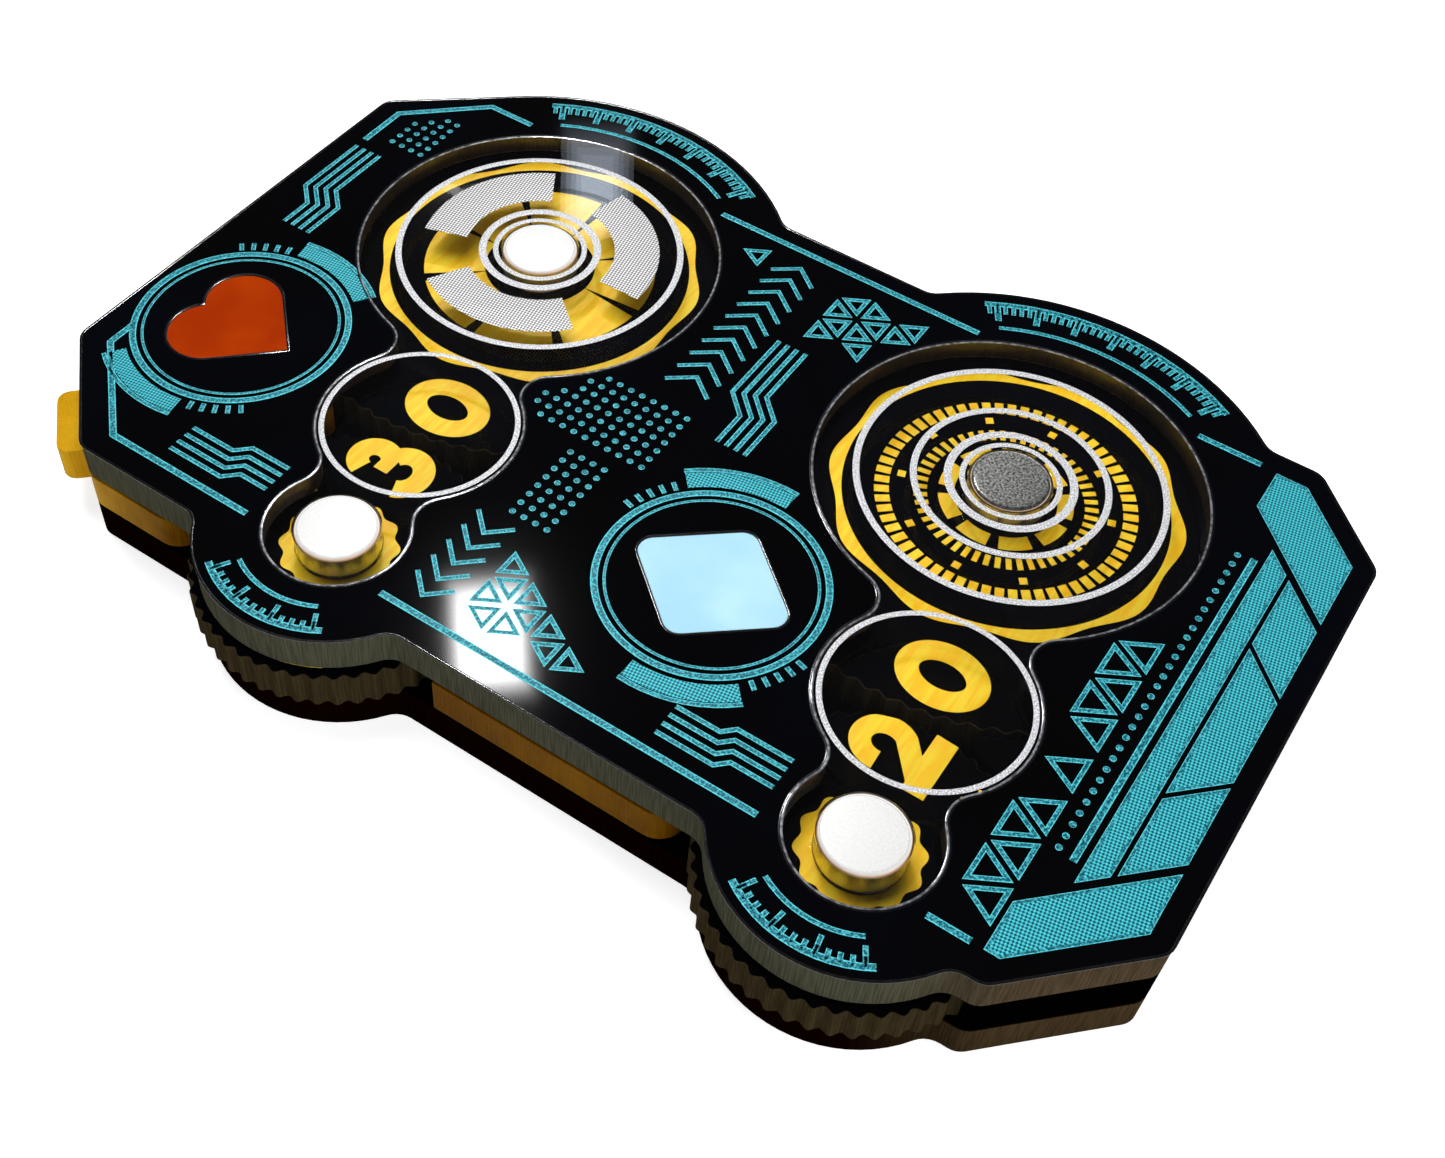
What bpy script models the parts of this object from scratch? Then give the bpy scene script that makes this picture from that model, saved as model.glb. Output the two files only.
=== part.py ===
"""Pocket life counter: two scores, each read from a tens wheel and a units wheel.

Three layers of cut acrylic sheet are bonded into a flat body. Four knurled wheels turn in the middle layer
round stacks of small disc magnets, and their numbers are read through clear inserts in the face plate.
Metres, +Z up. The origin is the middle of the underside, and +Y runs to the end with the yellow corner tab.
"""

import math

import bmesh
import bpy
import numpy as np

# Sheets
SHEET = 0.0030
BOND = 0.00025

# Wheels, and the gaps that set their axes apart
TENS_RADIUS = 0.0107
UNITS_RADIUS = 0.0209
COUNTER_GAP = 0.0005
NUMBER_GAP = 0.00095
TENS_FOOT_RISE = 0.0042
KNURL_DEPTH = 0.00035
KNURLS_PER_NUMBER = 8
TENS_NUMBERS = 6
UNITS_NUMBERS = 10
POINTS_PER_KNURL = 4

# Plates: a straight-sided body with cut corners, and a lobe over each wheel that reaches out of its side
RIM_SHOW = 0.0008
TENS_REACH = 0.0051
UNITS_REACH = 0.0059
TOP_MARGIN = 0.0011
BOTTOM_MARGIN = 0.0041
LEFT_STRAIGHT = 0.0021
RIGHT_STRAIGHT = 0.0042
CORNER_ROUND = 0.0015
NECK_ROUND = 0.0018

# Magnet stacks
MAGNET_RADIUS = 0.0030
MAGNET_THICKNESS = 0.0030
MAGNET_FIT = 0.00007
STACK_LIFT = 0.00015

# Windows, each filled by one clear insert
DIAL_WINDOW_RADIUS = 0.0146
DIAL_OVERLAP = 0.0012
AXLE_MARGIN = 0.0023
NUMBER_PAST_RIM = 0.0006
NUMBER_RISE = 0.0017
WINDOW_NECK_ROUND = 0.0022
INSERT_FIT = 0.0001

# Inlays, in line with the number windows
HEART_SIDE = 0.0059
HEART_MARGIN = 0.0050
LOZENGE_HALF_WIDTH = 0.0056
LOZENGE_HALF_LENGTH = 0.0066
LOZENGE_ROUND = 0.0012
LOZENGE_MARGIN = 0.0025

# Spacers and click plates
RIM_CLEARANCE = 0.0004
END_ROUND = 0.0003
WEDGE_ROUND = 0.0009
SPACER_ROUND = 0.0020
SQUARE_END_GAP = 0.0012
TAB_LENGTH = 0.0064
TAB_REACH = 0.0024
TAB_ROUND = 0.0010

# Spring fingers, with the angles of their roots and tips round the wheels, in degrees from +X
FINGER_CLEARANCE = 0.0007
FINGER_WIDTH = 0.0012
FINGER_SLIT = 0.0008
FINGER_ROUND = 0.00025
NUB_CLEARANCE = 0.00015
NUB_WIDTH = 0.0013
TENS_FINGER_ROOT = 84
TENS_FINGER_TIP = 50
UNITS_FINGER_ROOT = 152
UNITS_FINGER_TIP = 132

# How far a flat facet may fall inside the true curve, and the sharpest bend that is shaded smooth, in degrees
SAG = 0.00001
SMOOTH_BEND = 35

# Levels of the three layers
BASE_LEVEL = 0.0
WHEEL_LEVEL = SHEET + BOND
FACE_LEVEL = WHEEL_LEVEL + SHEET + BOND

# Wheel axes: the rims of a counter's two wheels are a number gap apart, and the two units wheels a counter gap.
# The foot of a tens wheel lies a little above the foot of its units wheel.
UNITS_RISE = UNITS_RADIUS - TENS_RADIUS - TENS_FOOT_RISE
AXES_APART = math.sqrt((TENS_RADIUS + NUMBER_GAP + UNITS_RADIUS) ** 2 - UNITS_RISE ** 2)
OVERALL_WIDTH = TENS_RADIUS + AXES_APART + UNITS_RADIUS
COUNTER_PITCH = 2 * UNITS_RADIUS + COUNTER_GAP
PLATE_LENGTH = BOTTOM_MARGIN + 2 * UNITS_RADIUS + COUNTER_PITCH + TOP_MARGIN
TENS_X = TENS_RADIUS - OVERALL_WIDTH / 2
UNITS_X = OVERALL_WIDTH / 2 - UNITS_RADIUS
UPPER_UNITS_Y = PLATE_LENGTH / 2 - TOP_MARGIN - UNITS_RADIUS
UNITS_Y = {"upper": UPPER_UNITS_Y, "lower": UPPER_UNITS_Y - COUNTER_PITCH}

# Sides, ends and corner cuts of the plates
TENS_LOBE = TENS_RADIUS - RIM_SHOW
UNITS_LOBE = UNITS_RADIUS - RIM_SHOW
TENS_INSET = TENS_LOBE - TENS_REACH
UNITS_INSET = UNITS_LOBE - UNITS_REACH
LEFT = TENS_X - TENS_INSET
RIGHT = UNITS_X + UNITS_INSET
TOP = PLATE_LENGTH / 2
BOTTOM = -PLATE_LENGTH / 2
LOWER_TENS_DROP = BOTTOM_MARGIN + UNITS_RADIUS - UNITS_RISE
LEFT_CUT = LOWER_TENS_DROP - math.sqrt(TENS_LOBE ** 2 - TENS_INSET ** 2) - LEFT_STRAIGHT
RIGHT_CUT = BOTTOM_MARGIN + UNITS_RADIUS - math.sqrt(UNITS_LOBE ** 2 - UNITS_INSET ** 2) - RIGHT_STRAIGHT

# Windows
AXLE_WINDOW_RADIUS = MAGNET_RADIUS + AXLE_MARGIN
NUMBER_OUT = TENS_RADIUS + NUMBER_PAST_RIM
NUMBER_TO_UNITS = math.hypot(AXES_APART - NUMBER_OUT, UNITS_RISE - NUMBER_RISE)
NUMBER_WINDOW_RADIUS = NUMBER_TO_UNITS + DIAL_OVERLAP - DIAL_WINDOW_RADIUS


def tens_axis(counter):
    """Where a counter's tens wheel turns, seen from above."""
    return np.array([TENS_X, UNITS_Y[counter] - UNITS_RISE])


def units_axis(counter):
    """Where a counter's units wheel turns, seen from above."""
    return np.array([UNITS_X, UNITS_Y[counter]])


def left_of(vector):
    """The vector turned a quarter turn to the left."""
    return np.array([-vector[1], vector[0]])


def unit(degrees):
    """The unit vector at an angle from +X."""
    return np.array([math.cos(math.radians(degrees)), math.sin(math.radians(degrees))])


class Line:
    """A straight run of an outline, through a point and along a heading in degrees."""

    def __init__(self, point, heading):
        self.point = np.array(point, float)
        self.heading = heading
        self.ahead = unit(heading)

    def inset(self, gap):
        return Line(self.point + gap * left_of(self.ahead), self.heading)

    def direction(self, _point):
        return self.ahead

    def foot(self, point):
        return self.point + np.dot(point - self.point, self.ahead) * self.ahead

    def between(self, _start, _end):
        return []


class Arc:
    """A round run of an outline: turn 1 goes round its centre to the left, and -1 to the right."""

    def __init__(self, centre, radius, turn=1):
        self.centre = np.array(centre, float)
        self.radius = radius
        self.turn = turn

    def inset(self, gap):
        return Arc(self.centre, self.radius - self.turn * gap, self.turn)

    def direction(self, point):
        spoke = point - self.centre
        return self.turn * left_of(spoke) / np.linalg.norm(spoke)

    def foot(self, point):
        spoke = point - self.centre
        return self.centre + spoke / np.linalg.norm(spoke) * self.radius

    def between(self, start, end):
        first = math.atan2(*(start - self.centre)[::-1])
        last = math.atan2(*(end - self.centre)[::-1])
        sweep = (self.turn * (last - first)) % (2 * math.pi)
        steps = facets(self.radius, sweep)
        angles = first + self.turn * sweep * np.arange(1, steps) / steps
        return [self.centre + self.radius * np.array([math.cos(a), math.sin(a)]) for a in angles]


def facets(radius, sweep):
    """How many straight steps keep a sweep of a circle within SAG of the true curve."""
    return max(1, math.ceil(sweep / (2 * math.acos(1 - SAG / max(radius, SAG)))))


def crossings(a, b):
    """The points where two runs, carried on without end, cross."""
    if isinstance(a, Arc) and isinstance(b, Arc):
        a = common_chord(a, b)
    if isinstance(a, Arc):
        a, b = b, a
    if isinstance(b, Line):
        along = np.linalg.solve(np.column_stack([a.ahead, -b.ahead]), b.point - a.point)[0]
        return [a.point + along * a.ahead]
    near = a.foot(b.centre)
    half = math.sqrt(b.radius ** 2 - np.sum((near - b.centre) ** 2))
    return [near - half * a.ahead, near + half * a.ahead]


def common_chord(a, b):
    """The line through the two crossings of two circles."""
    across = b.centre - a.centre
    distance = np.linalg.norm(across)
    share = (distance ** 2 + a.radius ** 2 - b.radius ** 2) / (2 * distance ** 2)
    return Line(a.centre + share * across, math.degrees(math.atan2(across[1], across[0])) + 90)


def corner(a, b, radius):
    """The points from run a to run b: round a corner (radius above zero), into a neck (below zero),
    sharp (zero), or where a line and a circle touch (None)."""
    if radius is None:
        line, arc = (a, b) if isinstance(a, Line) else (b, a)
        touch = line.foot(arc.centre)
        return touch, touch, [touch]
    for centre in crossings(a.inset(radius), b.inset(radius)):
        ahead, after = a.direction(centre), b.direction(centre)
        if radius * (ahead[0] * after[1] - ahead[1] * after[0]) >= 0:
            break
    start, end = a.foot(centre), b.foot(centre)
    if radius == 0:
        return start, start, [start]
    bend = Arc(centre, abs(radius), math.copysign(1, radius))
    return start, end, [start] + bend.between(start, end) + [end]


def outline(runs):
    """The points of a closed outline, to the left round its inside. Each run comes with its next corner."""
    corners = [corner(run, runs[(i + 1) % len(runs)][0], radius) for i, (run, radius) in enumerate(runs)]
    points = []
    for i, (run, _radius) in enumerate(runs):
        points += run.between(corners[i - 1][1], corners[i][0])
        points += corners[i][2]
    return points


def circle(centre, radius):
    """The points of a whole circle."""
    steps = facets(radius, 2 * math.pi)
    return [np.array(centre) + radius * unit(360 * i / steps) for i in range(steps)]


def plate_outline():
    """Body with cut corners, and a lobe over each wheel. The upper right cut runs into its lobe."""
    cut_start = np.array([RIGHT - RIGHT_CUT, TOP])
    to_lobe = cut_start - units_axis("upper")
    distance = np.linalg.norm(to_lobe)
    touch = math.atan2(to_lobe[1], to_lobe[0]) - math.acos(UNITS_LOBE / distance)
    right = Line((RIGHT, 0), 90)
    left = Line((LEFT, 0), 270)
    return outline([
        (Line((0, BOTTOM), 0), CORNER_ROUND),
        (Line((RIGHT, BOTTOM + RIGHT_CUT), 45), CORNER_ROUND),
        (right, -NECK_ROUND),
        (Arc(units_axis("lower"), UNITS_LOBE), -NECK_ROUND),
        (right, -NECK_ROUND),
        (Arc(units_axis("upper"), UNITS_LOBE), None),
        (Line(cut_start, math.degrees(touch) + 90), CORNER_ROUND),
        (Line((0, TOP), 180), CORNER_ROUND),
        (Line((LEFT, TOP - LEFT_CUT), 225), CORNER_ROUND),
        (left, -NECK_ROUND),
        (Arc(tens_axis("upper"), TENS_LOBE), -NECK_ROUND),
        (left, -NECK_ROUND),
        (Arc(tens_axis("lower"), TENS_LOBE), -NECK_ROUND),
        (left, CORNER_ROUND),
        (Line((LEFT, BOTTOM + LEFT_CUT), 315), CORNER_ROUND),
    ])


def number_centre(counter):
    """The middle of a counter's number window, between its two wheels."""
    return tens_axis(counter) + np.array([NUMBER_OUT, NUMBER_RISE])


def window_outline(counter, shrink):
    """Three rounds in a row, shrunk by a margin: over the dial, over the numbers and over the tens axle."""
    neck = -(WINDOW_NECK_ROUND + shrink)
    number = Arc(number_centre(counter), NUMBER_WINDOW_RADIUS).inset(shrink)
    return outline([
        (Arc(units_axis(counter), DIAL_WINDOW_RADIUS).inset(shrink), neck),
        (number, neck),
        (Arc(tens_axis(counter), AXLE_WINDOW_RADIUS).inset(shrink), neck),
        (number, neck),
    ])


def heart_outline(grow):
    """A square on its corner with a half round on each upper side, grown by a margin."""
    side = HEART_SIDE
    above = NUMBER_WINDOW_RADIUS + HEART_MARGIN + side / math.sqrt(2)
    middle = number_centre("upper") + np.array([0, above])
    lobe = side / 2 + grow
    reach = side / 2 / math.sqrt(2)
    right_lobe = middle + np.array([reach, reach])
    left_lobe = middle + np.array([-reach, reach])
    notch = middle + np.array([0, reach + math.sqrt(lobe ** 2 - reach ** 2)])
    tip = middle - np.array([0, (side + grow) * math.sqrt(2) - side / math.sqrt(2)])
    right_start = right_lobe + lobe * unit(-45)
    left_end = left_lobe + lobe * unit(225)
    return (
        [tip, right_start] + Arc(right_lobe, lobe).between(right_start, notch)
        + [notch] + Arc(left_lobe, lobe).between(notch, left_end) + [left_end]
    )


def lozenge_outline(grow):
    """A rhombus with rounded corners, grown by a margin."""
    above = NUMBER_WINDOW_RADIUS + LOZENGE_MARGIN + LOZENGE_HALF_LENGTH
    middle = number_centre("lower") + np.array([0, above])
    slope = math.degrees(math.atan2(LOZENGE_HALF_LENGTH, LOZENGE_HALF_WIDTH))
    foot = middle - np.array([0, LOZENGE_HALF_LENGTH])
    head = middle + np.array([0, LOZENGE_HALF_LENGTH])
    sides = [Line(foot, slope), Line(head, 180 - slope), Line(head, 180 + slope), Line(foot, 360 - slope)]
    return outline([(side.inset(-grow), LOZENGE_ROUND + grow) for side in sides])


def knurled_outline(radius, numbers):
    """A rim with rounded flutes: its radius swings between the crest and the crest less the knurl's depth."""
    knurls = numbers * KNURLS_PER_NUMBER
    steps = knurls * POINTS_PER_KNURL
    points = []
    for i in range(steps):
        swing = (1 - math.cos(2 * math.pi * i / POINTS_PER_KNURL)) / 2
        points.append((radius - KNURL_DEPTH * swing) * unit(360 * i / steps))
    return points


def clearance(axis, radius):
    """The edge of a middle-layer piece that leaves room for a wheel's rim."""
    return Arc(axis, radius + RIM_CLEARANCE, -1)


def spring_finger(axis, radius, root, tip):
    """The edge of a piece round a wheel with a finger cut along the rim. The finger is fixed at the root
    angle, free at the tip angle, and its tip has a nub that all but touches the crests."""
    inner = radius + FINGER_CLEARANCE
    outer = inner + FINGER_WIDTH
    nub_start = tip + math.degrees(NUB_WIDTH / inner)
    return [
        (Arc(axis, inner, -1), -FINGER_ROUND),
        (Line(axis, nub_start + 180), FINGER_ROUND),
        (Arc(axis, radius + NUB_CLEARANCE, -1), FINGER_ROUND),
        (Line(axis, tip), FINGER_ROUND),
        (Arc(axis, outer), -FINGER_ROUND),
        (Line(axis, root), -FINGER_ROUND),
        (Arc(axis, outer + FINGER_SLIT, -1), WEDGE_ROUND),
    ]


def upper_click_outline():
    """Fills the upper left corner between two wheels, with a finger on each and a tab out of the cut."""
    cut = Line((LEFT, TOP - LEFT_CUT), 225)
    cut_middle = np.array([LEFT + LEFT_CUT / 2, TOP - LEFT_CUT / 2])
    half = TAB_LENGTH / 2 * unit(45)
    tab = [
        (cut, 0),
        (Line(cut_middle + half, 135), TAB_ROUND),
        (Line(cut_middle + TAB_REACH * unit(135), 225), TAB_ROUND),
        (Line(cut_middle - half, 315), 0),
        (cut, CORNER_ROUND),
    ]
    return outline(
        [(Line((LEFT, 0), 270), SPACER_ROUND)]
        + spring_finger(tens_axis("upper"), TENS_RADIUS, TENS_FINGER_ROOT, TENS_FINGER_TIP)
        + spring_finger(units_axis("upper"), UNITS_RADIUS, UNITS_FINGER_ROOT, UNITS_FINGER_TIP)
        + [(Line((0, TOP), 180), CORNER_ROUND)]
        + tab
    )


def lower_click_outline():
    """Fills the left side between the tens wheels, from a square end down to a round one, with two fingers."""
    square_end = tens_axis("upper")[1] - TENS_RADIUS - SQUARE_END_GAP
    return outline(
        [(Line((LEFT, 0), 270), SPACER_ROUND)]
        + spring_finger(tens_axis("lower"), TENS_RADIUS, TENS_FINGER_ROOT, TENS_FINGER_TIP)
        + spring_finger(units_axis("lower"), UNITS_RADIUS, UNITS_FINGER_ROOT, UNITS_FINGER_TIP)
        + [(clearance(units_axis("upper"), UNITS_RADIUS), WEDGE_ROUND)]
        + [(Line((0, square_end), 180), 0)]
    )


def end_spacer_outline():
    """Runs along the bottom end, under the lower wheels."""
    return outline([
        (Line((LEFT, 0), 270), END_ROUND),
        (Line((LEFT, BOTTOM + LEFT_CUT), 315), CORNER_ROUND),
        (Line((0, BOTTOM), 0), CORNER_ROUND),
        (Line((RIGHT, BOTTOM + RIGHT_CUT), 45), CORNER_ROUND),
        (Line((RIGHT, 0), 90), WEDGE_ROUND),
        (clearance(units_axis("lower"), UNITS_RADIUS), WEDGE_ROUND),
        (clearance(tens_axis("lower"), TENS_RADIUS), END_ROUND),
    ])


def side_spacer_outline():
    """A three-cornered block between the two units wheels, flush with the right side."""
    return outline([
        (Line((RIGHT, 0), 90), WEDGE_ROUND),
        (clearance(units_axis("upper"), UNITS_RADIUS), WEDGE_ROUND),
        (clearance(units_axis("lower"), UNITS_RADIUS), WEDGE_ROUND),
    ])


def clear_scene():
    """Takes every object out of the scene."""
    for thing in list(bpy.data.objects):
        bpy.data.objects.remove(thing, do_unlink=True)


def finish(name, colour, roughness, metallic=0.0, alpha=1.0):
    """A Principled material in one plain colour."""
    material = bpy.data.materials.new(name)
    material.use_nodes = True
    shader = material.node_tree.nodes["Principled BSDF"]
    shader.inputs["Base Color"].default_value = (*colour, 1.0)
    shader.inputs["Roughness"].default_value = roughness
    shader.inputs["Metallic"].default_value = metallic
    shader.inputs["Alpha"].default_value = alpha
    return material


def black_acrylic(name):
    return finish(name, (0.012, 0.012, 0.016), 0.12)


def yellow_acrylic(name):
    return finish(name, (0.80, 0.52, 0.05), 0.2)


def clear_acrylic(name):
    return finish(name, (0.95, 0.96, 0.96), 0.05, alpha=0.3)


def magnet_nickel(name):
    return finish(name, (0.75, 0.74, 0.72), 0.3, metallic=1.0)


def red_acrylic(name):
    return finish(name, (0.60, 0.10, 0.01), 0.15)


def blue_acrylic(name):
    return finish(name, (0.50, 0.75, 0.85), 0.15)


def add_loop(mesh, points, level):
    """Adds a closed ring of edges at a height."""
    verts = [mesh.verts.new((x, y, level)) for x, y in points]
    return [mesh.edges.new((a, b)) for a, b in zip(verts, verts[1:] + verts[:1])]


def sheet_piece(name, material, border, holes, level, thickness, axis=(0.0, 0.0)):
    """One piece cut from sheet: a border and its holes, raised from a level. Its origin is on the axis."""
    mesh = bmesh.new()
    edges = []
    for loop in [border] + holes:
        edges += add_loop(mesh, loop, 0.0)
    bmesh.ops.triangle_fill(mesh, edges=edges, use_beauty=True)
    raised = bmesh.ops.extrude_face_region(mesh, geom=list(mesh.faces))
    top = [item for item in raised["geom"] if isinstance(item, bmesh.types.BMVert)]
    bmesh.ops.translate(mesh, verts=top, vec=(0.0, 0.0, thickness))
    bmesh.ops.recalc_face_normals(mesh, faces=list(mesh.faces))
    data = bpy.data.meshes.new(name)
    mesh.to_mesh(data)
    mesh.free()
    data.shade_smooth()
    data.set_sharp_from_angle(angle=math.radians(SMOOTH_BEND))
    data.materials.append(material)
    piece = bpy.data.objects.new(name, data)
    piece.location = (axis[0], axis[1], level)
    bpy.context.collection.objects.link(piece)


def magnet_holes():
    """The holes in the base plate, one under each axis."""
    radius = MAGNET_RADIUS + MAGNET_FIT
    axes = [find(counter) for counter in UNITS_Y for find in (tens_axis, units_axis)]
    return [circle(axis, radius) for axis in axes]


def make_plates():
    """The base plate, and the face plate with its windows and the cut-outs for its inlays."""
    border = plate_outline()
    sheet_piece("base_plate", black_acrylic("base_plate"), border, magnet_holes(), BASE_LEVEL, SHEET)
    windows = [window_outline(counter, 0) for counter in UNITS_Y]
    cut_outs = [heart_outline(INSERT_FIT), lozenge_outline(INSERT_FIT)]
    sheet_piece("face_plate", black_acrylic("face_plate"), border, windows + cut_outs, FACE_LEVEL, SHEET)


def make_inlays():
    """The two coloured pieces set in the face plate."""
    sheet_piece("red_inlay", red_acrylic("red_inlay"), heart_outline(0), [], FACE_LEVEL, SHEET)
    sheet_piece("blue_inlay", blue_acrylic("blue_inlay"), lozenge_outline(0), [], FACE_LEVEL, SHEET)


def make_middle_layer():
    """The four fixed pieces of the middle layer."""
    for name, border, material in (
        ("upper_click_plate", upper_click_outline(), yellow_acrylic),
        ("lower_click_plate", lower_click_outline(), yellow_acrylic),
        ("end_spacer", end_spacer_outline(), black_acrylic),
        ("side_spacer", side_spacer_outline(), black_acrylic),
    ):
        sheet_piece(name, material(name), border, [], WHEEL_LEVEL, SHEET)


def make_wheel(name, axis, radius, numbers):
    """A knurled wheel that runs on its hub magnet."""
    hub = circle((0, 0), MAGNET_RADIUS + MAGNET_FIT)
    border = knurled_outline(radius, numbers)
    sheet_piece(name, black_acrylic(name), border, [hub], WHEEL_LEVEL, SHEET, axis)


def make_window_insert(counter):
    """The clear insert that fills a counter's window, with a hole for each of its two cap magnets."""
    name = counter + "_window_insert"
    radius = MAGNET_RADIUS + MAGNET_FIT
    holes = [circle(find(counter), radius) for find in (tens_axis, units_axis)]
    sheet_piece(name, clear_acrylic(name), window_outline(counter, INSERT_FIT), holes, FACE_LEVEL, SHEET)


def make_magnets(name, axis):
    """Three disc magnets on one axis: in the base plate, in the wheel and in the top layer."""
    border = circle((0, 0), MAGNET_RADIUS)
    for layer, level in (("base", BASE_LEVEL), ("hub", WHEEL_LEVEL), ("cap", FACE_LEVEL)):
        title = name + "_" + layer + "_magnet"
        height = level + STACK_LIFT
        sheet_piece(title, magnet_nickel(title), border, [], height, MAGNET_THICKNESS, axis)


def make_counter(counter):
    """One counter: two wheels, the clear insert and two magnet stacks."""
    make_wheel(counter + "_tens_wheel", tens_axis(counter), TENS_RADIUS, TENS_NUMBERS)
    make_wheel(counter + "_units_wheel", units_axis(counter), UNITS_RADIUS, UNITS_NUMBERS)
    make_window_insert(counter)
    make_magnets(counter + "_tens", tens_axis(counter))
    make_magnets(counter + "_units", units_axis(counter))


clear_scene()
make_plates()
make_inlays()
make_middle_layer()
for counter_name in UNITS_Y:
    make_counter(counter_name)
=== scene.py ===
"""Visual model of a pocket life counter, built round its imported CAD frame.

Three layers of cut acrylic hold four knurled number wheels on magnet axles. The sections follow the counter as
it is put together, from the table up. Metres, +Z up, +Y towards the end with the yellow corner tab.
"""

import math

import bmesh
import bpy
import numpy as np
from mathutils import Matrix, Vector


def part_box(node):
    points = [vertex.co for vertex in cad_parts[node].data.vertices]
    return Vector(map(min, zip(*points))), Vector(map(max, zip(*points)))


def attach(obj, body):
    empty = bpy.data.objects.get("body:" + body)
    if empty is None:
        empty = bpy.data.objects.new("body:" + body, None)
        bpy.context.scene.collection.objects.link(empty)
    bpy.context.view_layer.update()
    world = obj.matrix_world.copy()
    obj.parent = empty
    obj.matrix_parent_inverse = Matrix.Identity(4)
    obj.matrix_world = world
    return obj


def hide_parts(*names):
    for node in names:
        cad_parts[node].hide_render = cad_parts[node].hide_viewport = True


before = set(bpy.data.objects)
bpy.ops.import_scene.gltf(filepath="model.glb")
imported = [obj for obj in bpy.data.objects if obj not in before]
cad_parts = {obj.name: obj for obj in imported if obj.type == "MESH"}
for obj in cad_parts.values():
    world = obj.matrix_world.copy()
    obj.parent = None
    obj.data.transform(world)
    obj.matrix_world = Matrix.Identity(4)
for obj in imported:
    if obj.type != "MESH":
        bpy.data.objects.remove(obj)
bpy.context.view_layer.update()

# Camera
# The photograph's own viewpoint: above the lower left corner, looking across the plates to the upper right.
# It was worked out from the outline of the face plate, and the small shift is the photograph's own cropping.
CAMERA_PLACE = (-0.0779, -0.04318, 0.1045)
CAMERA_TURN = (39.0316, -2.5439, -56.0711)
photo_lens = bpy.data.cameras.new("photo_camera")
photo_lens.sensor_width = 36.0
photo_lens.lens = 44.416
photo_lens.shift_x = 0.0463
photo_lens.shift_y = -0.00286
photo_lens.clip_start = 0.005
photo_camera = bpy.data.objects.new("photo_camera", photo_lens)
photo_camera.location = CAMERA_PLACE
photo_camera.rotation_euler = [math.radians(angle) for angle in CAMERA_TURN]
bpy.context.scene.collection.objects.link(photo_camera)
bpy.context.scene.camera = photo_camera
bpy.context.scene.view_settings.view_transform = "Standard"


# Table and light
# A plain white table under soft studio light. Rays from the camera, from gloss and through clear acrylic see it
# as bright as a white backdrop, less the counter's shadow. The studio's walls are pale all round the horizon
# and its ceiling is dark, so that polished black sheet stays black from above.
class Signal:
    """An output of a node. Arithmetic on it adds the Math node that does the sum."""

    def __init__(self, socket):
        self.socket = socket

    def node(self, kind, feeds, outlet=0, **settings):
        """Adds a node of any kind: its settings first, then a value or a wire for each socket that is fed."""
        tree = self.socket.id_data
        made = tree.nodes.new("ShaderNode" + kind)
        for name, value in settings.items():
            setattr(made, name, value)
        for name, value in feeds.items():
            if isinstance(value, Signal):
                tree.links.new(value.socket, made.inputs[name])
            else:
                made.inputs[name].default_value = value
        return Signal(made.outputs[outlet])

    def math(self, operation, left, right=0.0):
        return self.node("Math", {0: left, 1: right}, operation=operation)

    def __add__(self, other):
        return self.math("ADD", self, other)

    def __sub__(self, other):
        return self.math("SUBTRACT", self, other)

    def __rsub__(self, other):
        return self.math("SUBTRACT", other, self)

    def __mul__(self, other):
        return self.math("MULTIPLY", self, other)

    __radd__ = __add__
    __rmul__ = __mul__

    def coordinate(self, axis):
        """One number of a vector: 0 for X, 1 for Y and 2 for Z."""
        return self.node("SeparateXYZ", {0: self}, outlet=axis)

    def ramp(self, low, high):
        """0 below low, 1 above high, and a smooth climb between."""
        limits = {"Value": self, "From Min": low, "From Max": high}
        return self.node("MapRange", limits, interpolation_type="SMOOTHSTEP")

    def tint(self, empty, full):
        """One colour where the signal is 0, the other where it is 1. Each may be a signal itself."""
        return self.node("Mix", {0: self, 6: empty, 7: full}, outlet=2, data_type="RGBA")


def screen(red, green, blue):
    """A colour as a screen shows it, turned to the linear light that the shaders use."""
    return (red ** 2.2, green ** 2.2, blue ** 2.2, 1.0)


def skin(grid, around, closed):
    """Covers a grid of points with quads. Round either direction the grid may join up with itself, and where it
    doesn't, its two end rows are closed by flat faces. Faces look outwards where the cross product of the first
    direction with the second does."""
    rows, columns = grid.shape[:2]
    number = np.arange(rows * columns).reshape(rows, columns)
    walk = np.vstack([number, number[:1]]) if around else number
    walk = np.hstack([walk, walk[:, :1]]) if closed else walk
    quads = np.stack([walk[:-1, :-1], walk[1:, :-1], walk[1:, 1:], walk[:-1, 1:]], -1).reshape(-1, 4)
    faces = [quads]
    if not around:
        faces += [number[:1], number[-1:, ::-1]]
    if not closed:
        faces += [number[::-1, :1].T, number[:, -1:].T]
    return grid.reshape(-1, 3), faces


SHARP_CREASE = math.radians(30)


def add_piece(name, skins, stuff):
    """Puts any number of skins into one mesh, each skin's faces numbered on from the points before it."""
    starts = np.cumsum([0] + [len(points) for points, _ in skins])
    faces = []
    for start, (_, batches) in zip(starts, skins):
        for batch in batches:
            faces += (batch + start).tolist()
    mesh = bpy.data.meshes.new(name)
    mesh.from_pydata(np.concatenate([points for points, _ in skins]), [], faces)
    mesh.polygons.foreach_set("use_smooth", np.ones(len(faces), bool))
    mesh.set_sharp_from_angle(angle=SHARP_CREASE)
    mesh.materials.append(stuff)
    piece = bpy.data.objects.new(name, mesh)
    bpy.context.scene.collection.objects.link(piece)
    return piece


TABLE_WHITE = (0.8, 0.8, 0.8, 1.0)
TABLE_GLOW = 0.68
TABLE_HALF = 3.0
TABLE_TOP = -0.00003
TABLE_THICK = 0.01


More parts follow.
